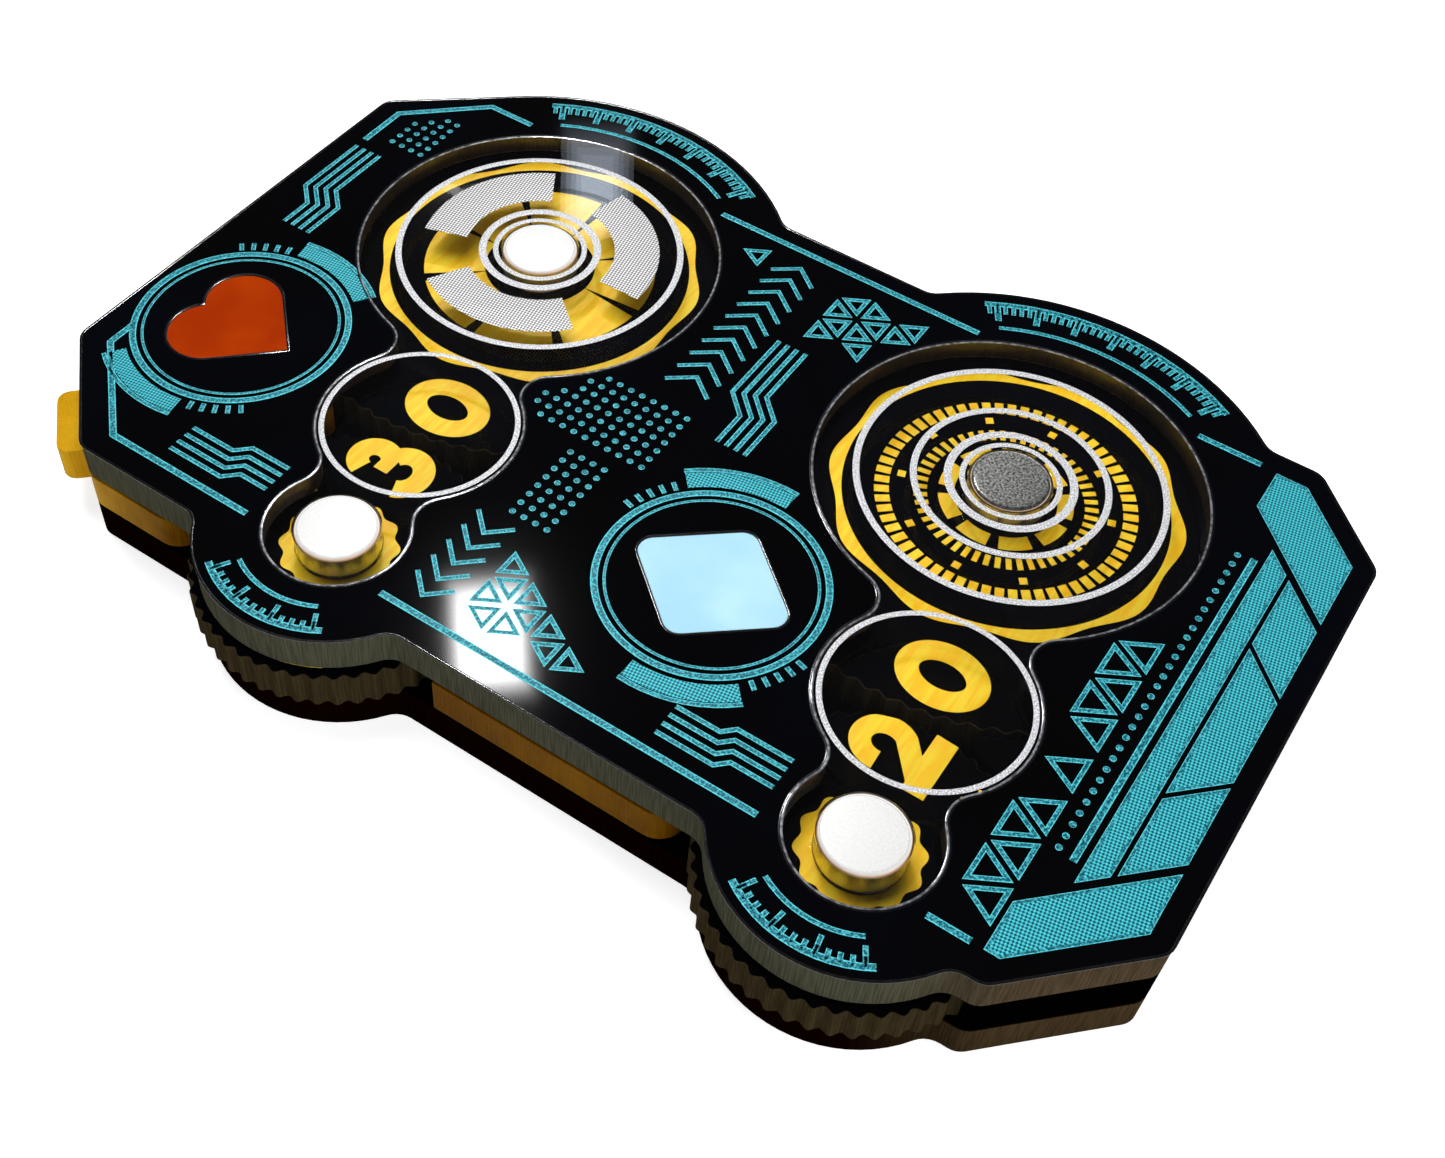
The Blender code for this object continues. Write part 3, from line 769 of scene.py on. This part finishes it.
def clear_acrylic(name, node, axes):
    """Water-clear sheet with a painted dark brown reflection on its outer wall, but none in its two magnet
    holes.
    Light for shadows goes straight through, as it nearly does in the real one."""
    stuff = bpy.data.materials.new(name)
    stuff.use_nodes = True
    tree = stuff.node_tree
    shader = tree.nodes["Principled BSDF"]
    shader.inputs["Base Color"].default_value = CLEAR_TINT
    shader.inputs["Transmission Weight"].default_value = 1.0
    shader.inputs["IOR"].default_value = ACRYLIC_INDEX
    place = Signal(tree.nodes.new("ShaderNodeTexCoord").outputs["Object"])
    low, high = (corner.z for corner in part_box(node))
    wall = cut_wall(place, low, high)
    outer = wall
    for axis in axes:
        outer = outer * out_from(axis, place).ramp(*MAGNET_HOLE)
    streak = streaks(place)
    scratch = grain(place, CLEAR_SCRATCH_SCALE, SCRATCH_ALONG, detail=0.0).ramp(0.68, 0.72)
    rough = 0.01 + scratch * 0.03 + wall * (0.22 + streak * 0.2)
    tree.links.new(rough.socket, shader.inputs["Roughness"])
    tree.links.new(bump(place, wall * streak, STREAK_DEPTH).socket, shader.inputs["Normal"])
    shadow = Signal(tree.nodes.new("ShaderNodeLightPath").outputs["Is Shadow Ray"])
    # Painted reflection: the outer wall is covered by an opaque dark brown where the real wall mirrors its
    # surroundings.
    reflection_brown = streak.ramp(0.3, 0.7).tint(*WALL_PAINTED_REFLECTION)
    painted_reflection = place.node("BsdfPrincipled", {"Base Color": reflection_brown, "Roughness": 0.5, "Specular IOR Level": 0.03})
    through = place.node("BsdfTransparent", {"Color": CLEAR_SHADOW})
    body = place.node("MixShader", {0: outer * PAINTED_REFLECTION_COVER, 1: Signal(shader.outputs[0]), 2: painted_reflection})
    both = place.node("MixShader", {0: shadow, 1: body, 2: through})
    tree.links.new(both.socket, tree.nodes["Material Output"].inputs["Surface"])
    return stuff


WEAVE_PITCH = 0.00034
WEAVE_SLANT = math.radians(35)
WEAVE_SHARE = 0.75
SILVER_SPARKLE_SCALE = 8500.0
SILVER_BRIGHT = screen(0.98, 0.98, 0.99)
SILVER_LINE_DARK = screen(0.60, 0.61, 0.63)
SILVER_BAND_DARK = screen(0.38, 0.38, 0.36)


def weave(place):
    """Small diamonds in a woven grid: the product of one sine across and one along, turned by the slant."""
    slanted = place.node("Mapping", {"Vector": place, "Rotation": (0.0, 0.0, WEAVE_SLANT)})
    per_metre = 2 * math.pi / WEAVE_PITCH
    across = place.math("SINE", slanted.coordinate(0) * per_metre)
    along = place.math("SINE", slanted.coordinate(1) * per_metre)
    return (across * along).ramp(-0.35, 0.35)


def silver_paint(name, woven, dark):
    """Metallic silver with a fine sparkle, and a woven dot pattern where the paint covers a broad band."""

    def varying(place):
        sparkle = grain(place, SILVER_SPARKLE_SCALE, detail=2.0)
        shade = (sparkle * (1 - woven) + weave(place) * woven).ramp(0.3, 0.7)
        return {
            "Base Color": shade.tint(dark, SILVER_BRIGHT),
            "Roughness": 0.32 + sparkle * 0.2,
            "Normal": bump(place, shade, PAINT_RELIEF),
        }

    return finish(name, varying, Metallic=0.3)


LIP_WIDTH = 0.0002
LIP_RIPPLE_SCALE = 3000.0
# Painted glint: the clear lip is coloured metallic silver where the window's rim shines.
LIP_PAINTED_GLINT = (screen(0.40, 0.41, 0.44), screen(0.80, 0.81, 0.83))


def glint_painted_lip():
    """The thin raised lip that the laser melts up along a cut. It is smooth, and its silver colour is a painted
    glint.
    """

    def varying(place):
        ripple = grain(place, LIP_RIPPLE_SCALE)
        return {"Base Color": ripple.ramp(0.3, 0.7).tint(*LIP_PAINTED_GLINT), "Roughness": 0.1 + ripple * 0.1}

    return finish("lip_with_painted_glint", varying, Metallic=0.7)


def ring(centre, radius, width, level, sides=96):
    """A closed round line of paint."""
    angle = np.linspace(0.0, 2 * math.pi, sides, endpoint=False)
    path = np.stack([centre[0] + radius * np.cos(angle), centre[1] + radius * np.sin(angle)], 1)
    return stroke(path, width, level, joined=True)


FACE_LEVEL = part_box("face_plate")[1].z
NUMBER_MIDDLE = np.array([0.0113, 0.0017])
NUMBER_RING = {"radius": 0.00715, "width": 0.0004}
DIAL_RING = {"radius": 0.01128, "width": 0.0005, "sides": 144}
HUB_RING = {"radius": 0.00355, "width": 0.00042}
MIDDLE_RING = {"radius": 0.0071, "width": 0.0005}
SMALL_RING = {"radius": 0.0046, "width": 0.0006}
DIAL_RINGS = {
    "upper": (DIAL_RING, HUB_RING, SMALL_RING),
    "lower": (DIAL_RING, HUB_RING, MIDDLE_RING, SMALL_RING),
}
UPPER_BANDS = {"radius": 0.0078, "width": 0.0036, "starts": (28, 148, 268), "turn": 84}
lip_with_painted_glint = glint_painted_lip()
silver_lines = silver_paint("silver_lines", 0.0, SILVER_LINE_DARK)
silver_weave = silver_paint("silver_weave", WEAVE_SHARE, SILVER_BAND_DARK)
for counter in ("upper", "lower"):
    node = counter + "_window_insert"
    dial = upright_axis(counter + "_units_wheel")
    axle = upright_axis(counter + "_tens_wheel")
    add_sheet(node, node + "_sheet", clear_acrylic("clear_" + node, node, (dial, axle)))
    rings = [ring(axle + NUMBER_MIDDLE, level=FACE_LEVEL, **NUMBER_RING)]
    rings += [ring(dial, level=FACE_LEVEL, **sizes) for sizes in DIAL_RINGS[counter]]
    lip = stroke(rim_paths(node)[0], LIP_WIDTH, FACE_LEVEL, joined=True)
    painted = [add_piece(node + "_silver_lines", rings, silver_lines)]
    painted.append(add_piece(node + "_rim", [lip], lip_with_painted_glint))
    if counter == "upper":
        bands = arc_bands(dial, level=FACE_LEVEL, **UPPER_BANDS)
        painted.append(add_piece(node + "_silver_bands", bands, silver_weave))
    for piece in painted:
        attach(piece, "plates")


# Inlays
# A red-orange heart by the upper score and a pale blue lozenge by the lower one, each cut from coloured
# acrylic and glued flush into the face plate.
INLAY_CLOUD_SCALE = 180.0
HEART_RED = (screen(0.58, 0.18, 0.01), screen(0.69, 0.25, 0.03))
LOZENGE_BLUE = (screen(0.62, 0.80, 0.88), screen(0.70, 0.86, 0.93))


def coloured_acrylic(name, node, deep, bright, glow):
    """Cast colour right through the sheet, with a little cloud in it and painted light on its cut walls."""
    low, high = (corner.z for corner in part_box(node))

    def varying(place):
        wall = cut_wall(place, low, high)
        # Painted light: the cut walls are pushed towards the bright colour.
        cloud = (grain(place, INLAY_CLOUD_SCALE) + wall * 0.5).ramp(0.3, 0.9)
        return {"Base Color": cloud.tint(deep, bright), "Roughness": 0.07 + wall * (0.2 + streaks(place) * 0.2)}

    return finish(name, varying, IOR=ACRYLIC_INDEX, Subsurface_Weight=glow, Subsurface_Scale=0.001)


red = coloured_acrylic("red_orange", "red_inlay", *HEART_RED, glow=0.2)
blue = coloured_acrylic("pale_blue", "blue_inlay", *LOZENGE_BLUE, glow=0.1)
add_sheet("red_inlay", "heart_inlay", red)
add_sheet("blue_inlay", "lozenge_inlay", blue)

# Face plate
# The top sheet: polished black acrylic like the base, cut out round the two windows and the two inlays, and
# bonded over the middle layer. The laser leaves a thin black lip along each of its cuts.
# Painted light: the face's walls round the bottom end are coloured browner than its other walls.
FACE_WALL_COLOUR = screen(0.29, 0.29, 0.24)
FACE_END_PAINTED_LIGHT = screen(0.30, 0.255, 0.195)
FACE_SHINE = 0.6
LIP_BLACK = (screen(0.02, 0.02, 0.03), screen(0.12, 0.12, 0.13))


def black_lip():
    """The melted lip along a cut in black sheet."""

    def varying(place):
        ripple = grain(place, LIP_RIPPLE_SCALE)
        return {"Base Color": ripple.tint(*LIP_BLACK), "Roughness": 0.1 + ripple * 0.1}

    return finish("black_lip", varying, Specular_IOR_Level=1.0)


black_face = black_sheet("black_face", "face_plate", FACE_WALL_COLOUR, FACE_END_PAINTED_LIGHT, FACE_SHINE)
add_sheet("face_plate", "face_sheet", black_face)
face_rims = [stroke(path, LIP_WIDTH, FACE_LEVEL, joined=True) for path in rim_paths("face_plate")]
face_lips = add_piece("face_lips", face_rims, black_lip())
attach(face_lips, "plates")

# Border lines
# The first of the line work on the face, all of it metallic teal paint in laser engraving. Thick lines follow
# the straight sides and corner cuts a little inside them, and one runs above the panels at the bottom end.
TEAL_SPARKLE_SCALE = 6000.0
TEAL_PAINTED_HIGHLIGHT_SHARES = (0.55, 0.95)
TEAL_LINE = (screen(0.03, 0.33, 0.39), screen(0.36, 0.85, 0.90))
TEAL_PANEL = (screen(0.02, 0.31, 0.36), screen(0.30, 0.80, 0.85))


def teal_paint(name, woven, dark, light):
    """Metallic teal, brighter in specks, with a painted highlight along the edges of a line, and a woven
    pattern where it covers a broad panel."""

    def varying(place):
        sparkle = grain(place, TEAL_SPARKLE_SCALE, detail=2.0).ramp(0.3, 0.7)
        level = place.coordinate(2)
        # Painted highlight: the paint is coloured brighter on the low shoulders along a line's edges.
        edge = 1.0 - level.ramp(*[FACE_LEVEL + PAINT_RISE * share for share in TEAL_PAINTED_HIGHLIGHT_SHARES])
        shade = sparkle * (0.6 * (1 - woven)) + edge * (0.55 * (1 - woven)) + weave(place) * woven
        return {
            "Base Color": shade.ramp(0.1, 0.9).tint(dark, light),
            "Roughness": 0.3 + sparkle * 0.2,
            "Normal": bump(place, shade, PAINT_RELIEF),
        }

    return finish(name, varying, Metallic=0.2)


# Places on the face are in millimetres from where its left side and its bottom end would meet
MM = 0.001
CORNER = np.array([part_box("lower_click_plate")[0].x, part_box("face_plate")[0].y])
HAIRLINE = 0.00034
BORDER_LINE = 0.0005
teal_lines = teal_paint("teal_lines", 0.0, *TEAL_LINE)
teal_weave = teal_paint("teal_weave", WEAVE_SHARE, *TEAL_PANEL)


def on_face(points):
    """Millimetres on the face to metres in the frame."""
    return np.array(points, float) * MM + CORNER


def lines(paths, width=HAIRLINE, joined=False):
    """A line of paint along each path on the face."""
    return [stroke(on_face(path), width, FACE_LEVEL, joined) for path in paths]


def add_paint(name, skins, stuff):
    """Puts paint on the face plate."""
    piece = add_piece(name, skins, stuff)
    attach(piece, "plates")


add_paint("border_lines", lines([
    [(2.1, 67.2), (2.1, 79.9), (8.9, 86.9), (11.2, 86.9)],
    [(2.1, 25.2), (2.1, 55.2)],
    [(2.1, 10.2), (2.1, 13.2)],
    [(39.2, 87.4), (43.7, 87.4), (49.3, 81.6), (49.3, 77.4)],
    [(49.3, 57.9), (49.3, 34.1)],
    [(49.3, 15.6), (49.3, 10.6)],
    [(10.6, 7.55), (40.3, 7.55)],
], BORDER_LINE), teal_lines)


# Scales over the lobes
# A ruler scale bent round each lobe of the face, over the rim of the wheel below. Each is painted in its own
# engraving: a thick outer arc, short and long marks that stand in from it, and a thin arc inside.
def face_centre(node):
    """The middle of a node in millimetres on the face."""
    return (upright_axis(node) - CORNER) / MM


DIALS = [face_centre(counter + "_units_wheel") for counter in ("upper", "lower")]
AXLES = [face_centre(counter + "_tens_wheel") for counter in ("upper", "lower")]
TENS_SCALE = {
    "outer": 9.0, "outer_turn": (146, 214), "inner": 7.0, "inner_turn": (150, 210),
    "short": 8.3, "short_at": np.arange(150, 211, 5),
    "long": 7.6, "long_at": np.arange(150, 211, 20), "long_width": HAIRLINE,
}
UNITS_SCALE = {
    "outer": 18.9, "outer_turn": (-33, 33), "inner": 16.2, "inner_turn": (-30, 30),
    "short": 17.8, "short_at": np.arange(-32, 33, 2),
    "long": 17.0, "long_at": np.arange(-30, 31, 10), "long_width": BORDER_LINE,
}


def lobe_scale(centre, outer, outer_turn, inner, inner_turn, short, short_at, long, long_at, long_width):
    """One scale. Radii are in millimetres, and the turns and the marks' angles in degrees."""
    skins = lines([bow(centre, outer, outer, *outer_turn)], BORDER_LINE)
    skins += lines([bow(centre, inner, inner, *inner_turn)])
    skins += spokes(on_face(centre), short * MM, outer * MM, HAIRLINE, short_at, FACE_LEVEL)
    skins += spokes(on_face(centre), long * MM, outer * MM, long_width, long_at, FACE_LEVEL)
    return skins


scales = []
for axle in AXLES:
    scales += lobe_scale(axle, **TENS_SCALE)
for dial in DIALS:
    scales += lobe_scale(dial, **UNITS_SCALE)
add_paint("lobe_scales", scales, teal_lines)

# Rings round the inlays
# Two rings of paint round each inlay. Outside them lie two broad woven bands, one to a side, each with a thin
# arc along its outer edge and a few short marks after it.
HEART = face_centre("red_inlay")
LOZENGE = face_centre("blue_inlay")
INLAY_TILTS = ((HEART, -12), (LOZENGE, 20))
THICK_RING = {"radius": 0.0081, "width": BORDER_LINE}
THIN_RING = {"radius": 0.0074, "width": 0.0002}
BAND_RADIUS = 0.0094
BAND_WIDTH = 0.0014
BAND_TURN = 48
BAND_EDGE = 10.35
MARKS_FROM = 0.0086
MARKS_AT = np.arange(54, 84, 6)
rings = []
bands = []
for centre, tilt in INLAY_TILTS:
    middle = on_face(centre)
    rings += [ring(middle, level=FACE_LEVEL, **sizes) for sizes in (THICK_RING, THIN_RING)]
    for side in (0, 180):
        start = side + tilt - BAND_TURN // 2
        bands += arc_bands(middle, BAND_RADIUS, BAND_WIDTH, [start], BAND_TURN, FACE_LEVEL)
        rings += lines([bow(centre, BAND_EDGE, BAND_EDGE, start, start + BAND_TURN)])
        rings += spokes(middle, MARKS_FROM, BAND_RADIUS, HAIRLINE, start + MARKS_AT, FACE_LEVEL)
add_paint("inlay_rings", rings, teal_lines)
add_paint("inlay_bands", bands, teal_weave)

# Pinstripes
# Four bundles of thin parallel lines of paint, in gaps that the windows and the inlays leave. Each bundle
# steps to the side once on its way.
STRIPE_COUNT = 4
STRIPE_GAP = 0.8
STRIPE_PATHS = (
    [(27.2, 83.4), (31.0, 83.4), (32.6, 85.0), (38.2, 85.0)],
    [(3.6, 75.8), (3.6, 71.0), (4.6, 70.0), (4.6, 67.6)],
    [(27.4, 42.0), (31.6, 42.0), (33.4, 43.8), (39.2, 43.8)],
    [(3.6, 33.8), (3.6, 29.4), (4.4, 28.6), (4.4, 25.4)],
)


def pinstripes(path):
    """Parallel lines with one shape: each is the first moved sideways, keeping the gap through the bends."""
    path = np.array(path)
    return [path + sideways(path, False) * STRIPE_GAP * number for number in range(STRIPE_COUNT)]


stripes = []
for path in STRIPE_PATHS:
    stripes += pinstripes(path)
add_paint("pinstripes", lines(stripes), teal_lines)

# Chevrons
# Two rows of thin painted arrow heads across the middle of the face. The long row points to the right and
# the short one to the left.
CHEVRON_PITCH = 1.7
CHEVRON_REACH = 1.5
chevrons = []
for left in np.arange(30.6, 47.0, CHEVRON_PITCH):
    chevrons.append([(left, 47.3), (left + CHEVRON_REACH, 49.2), (left, 51.1)])
for left in np.arange(3.6, 11.0, CHEVRON_PITCH):
    chevrons.append([(left + CHEVRON_REACH, 51.2), (left, 52.8), (left + CHEVRON_REACH, 54.4)])
add_paint("chevrons", lines(chevrons), teal_lines)

# Triangles
# Four fields of thin painted triangles: one at the bottom end, one on the left side and two on the right. A
# triangle that would run into a window or an inlay's rings is left out.
SCORES = [axle + NUMBER_MIDDLE / MM for axle in AXLES]
DIAL_CLEAR = 15.4
AXLE_CLEAR = 6.0
SCORE_CLEAR = 8.5
INLAY_CLEAR = 10.9
KEEP_OUT = [(dial, DIAL_CLEAR) for dial in DIALS] + [(axle, AXLE_CLEAR) for axle in AXLES]
KEEP_OUT += [(score, SCORE_CLEAR) for score in SCORES] + [(HEART, INLAY_CLEAR), (LOZENGE, INLAY_CLEAR)]
TRIANGLE_SIDE = 3.0
END_TRIANGLE_SIDE = 3.8
TRIANGLE_INSET = 0.36
FIELD_SLACK = 0.1


def is_clear(points):
    """Whether every point of a shape keeps clear of the windows and the inlay rings."""
    points = np.array(points)
    return all(np.all(np.linalg.norm(points - centre, axis=1) > reach) for centre, reach in KEEP_OUT)


def triangle_field(low, high, side=TRIANGLE_SIDE):
    """A lattice of triangles, each drawn a little inside its cell so that neighbours make double lines."""
    rise = side * math.sqrt(3) / 2
    found = []
    for row in range(int((high[1] - low[1]) / rise)):
        for column in range(2 * int((high[0] - low[0]) / side)):
            left = low[0] + column * side / 2
            foot, head = low[1] + row * rise, low[1] + (row + 1) * rise
            if (row + column) % 2 == 0:
                corners = np.array([(left, foot), (left + side, foot), (left + side / 2, head)])
            else:
                corners = np.array([(left + side, head), (left, head), (left + side / 2, foot)])
            middle = corners.mean(0)
            corners = middle + (corners - middle) * (1 - TRIANGLE_INSET * 2 * math.sqrt(3) / side)
            inside = corners[:, 0].min() > low[0] - FIELD_SLACK and corners[:, 0].max() < high[0] + FIELD_SLACK
            if inside and is_clear(corners):
                found.append(corners)
    return found


triangles = triangle_field((3.3, 9.5), (48.3, 17.4), END_TRIANGLE_SIDE)
triangles += triangle_field((3.2, 37.2), (10.2, 50.4))
triangles += triangle_field((40.4, 34.8), (48.4, 45.8))
triangles += triangle_field((42.2, 52.0), (48.4, 57.6))
add_paint("triangles", lines(triangles, joined=True), teal_lines)

# Dots
# Small domes of paint a millimetre apart: two square grids in the middle of the face, one in the far right
# corner, and a single row above the border line at the bottom end.
DOT_SIDES = 14
DOT_RADIUS = 0.00024
DOT_TOP_SHARE = 0.75
DOT_PITCH = 1.0
CORNER_CUT = 129.4


def dot(centre):
    """A low round dome of paint."""
    top = DOT_RADIUS * DOT_TOP_SHARE
    rows = [(0, DOT_RADIUS, -PAINT_SINK), (0, DOT_RADIUS, PAINT_RISE / 2), (0, top, PAINT_RISE)]
    rows = [(share, out, FACE_LEVEL + level) for share, out, level in rows]
    return skin(turned(np.ones(DOT_SIDES), rows, on_face(centre)), True, False)


def dot_block(low, high):
    """Places on a square grid, from one corner to just before the other."""
    across, along = (np.arange(low[axis], high[axis], DOT_PITCH) for axis in (0, 1))
    return [(x, y) for x in across for y in along]


dots = dot_block((22.0, 47.4), (29.0, 58.0))
dots += dot_block((13.2, 49.4), (21.0, 53.0))
dots += [place for place in dot_block((40.4, 82.4), (46.4, 86.4)) if sum(place) < CORNER_CUT]
dots += dot_block((11.0, 8.7), (40.2, 9.0))
add_paint("dots", [dot(place) for place in dots if is_clear([place])], teal_lines)

# Panels at the bottom end
# Six fields of woven paint: one in each corner and four between them, below the border line. Their sides
# slant like the corner cuts, and each has a thin plain outline.
PANEL_RISE_SHARE = 0.8
PANEL_EDGE = 0.00028


def panel(corners):
    """A flat field of paint inside a line of corners, given anticlockwise."""
    corners = on_face(corners)
    grid = np.zeros((len(corners), 2, 3))
    grid[:, :, :2] = corners[:, None]
    grid[:, :, 2] = FACE_LEVEL + np.array([-PAINT_SINK, PAINT_RISE * PANEL_RISE_SHARE])
    return skin(grid, True, False)


fields = [
    [(2.2, 9.2), (2.2, 8.3), (8.8, 1.7), (13.4, 1.7), (5.9, 9.2)],
    [(49.0, 9.2), (45.3, 9.2), (37.8, 1.7), (43.7, 1.7), (49.0, 7.0)],
    [(11.6, 4.7), (14.6, 1.7), (21.0, 1.7), (18.0, 4.7)],
    [(18.9, 4.7), (21.9, 1.7), (29.3, 1.7), (32.3, 4.7)],
    [(33.2, 4.7), (30.2, 1.7), (36.6, 1.7), (39.6, 4.7)],
    [(9.6, 6.7), (11.0, 5.3), (40.2, 5.3), (41.6, 6.7)],
]
add_paint("end_panels", [panel(field) for field in fields], teal_weave)
add_paint("end_panel_edges", lines(fields, PANEL_EDGE, joined=True), teal_lines)
